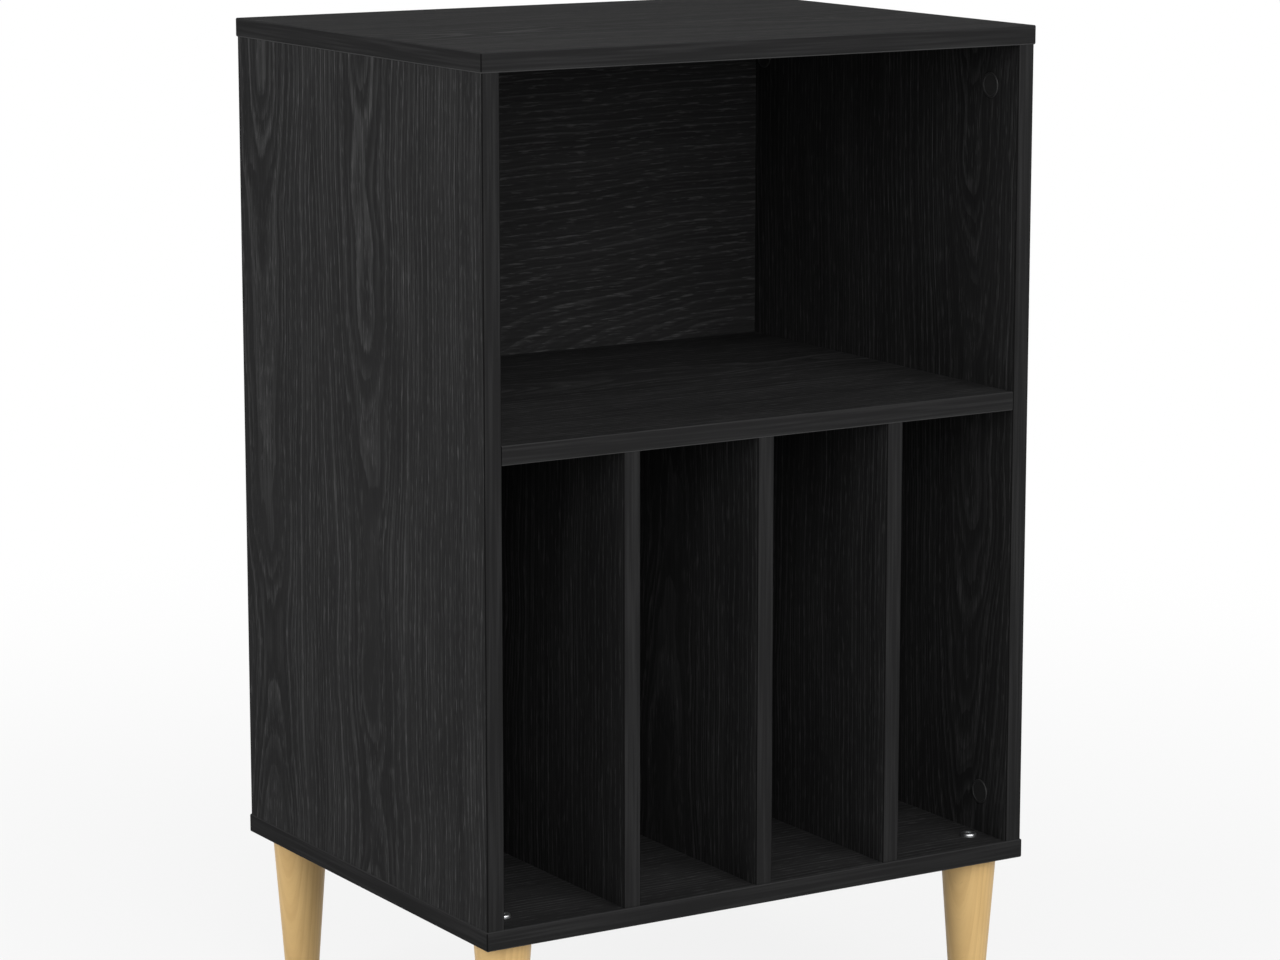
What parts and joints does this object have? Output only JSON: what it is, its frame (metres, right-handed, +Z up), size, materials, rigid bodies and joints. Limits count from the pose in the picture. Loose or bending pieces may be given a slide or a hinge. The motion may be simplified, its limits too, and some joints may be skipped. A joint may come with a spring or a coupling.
{
  "type": "turntable stand",
  "caption": "Black-oak flat-pack stand on turned tapered wooden legs: a flat top, an open upper compartment and upright slots below between dividers, joined by cam locks and dowels.",
  "frame": {"origin": "on the floor, under the middle of the stand", "axes": "+Z up, open front towards -Y, +X to the right seen from the front"},
  "size_m": [0.5, 0.4, 0.8],
  "materials": {
    "black_oak_board": "matt black-oak melamine with embossed grain",
    "black_oak_back": "matt printed black-oak foil on thin fibreboard",
    "leg_wood": "satin clear-lacquered turned wood",
    "dowel_wood": "raw fluted beech",
    "zinc_steel": "zinc plated",
    "black_cap": "moulded matt black",
    "black_glide": "moulded matt black"
  },
  "bodies": {
    "root": {"top_panel": "black_oak_board", "bottom_panel": "black_oak_board", "left_side_panel": "black_oak_board", "right_side_panel": "black_oak_board", "middle_shelf": "black_oak_board", "left_divider": "black_oak_board", "centre_divider": "black_oak_board", "right_divider": "black_oak_board", "upper_back_panel": "black_oak_back", "lower_back_panel": "black_oak_back", "front_legs": "leg_wood", "rear_legs": "leg_wood", "top_cam_caps": "black_cap", "bottom_cam_caps": "black_cap", "shelf_cam_caps": "black_cap", "foot_glides": "black_glide", "top_cam_locks": "zinc_steel", "top_cam_bolts": "zinc_steel", "bottom_cam_locks": "zinc_steel", "bottom_cam_bolts": "zinc_steel", "shelf_cam_locks": "zinc_steel", "shelf_cam_bolts": "zinc_steel", "divider_screws": "zinc_steel", "leg_threaded_inserts": "zinc_steel", "leg_hanger_bolts": "zinc_steel", "glide_nails": "zinc_steel", "top_dowels": "dowel_wood", "bottom_dowels": "dowel_wood", "shelf_dowels": "dowel_wood", "divider_dowels": "dowel_wood"}
  },
  "joints": []
}
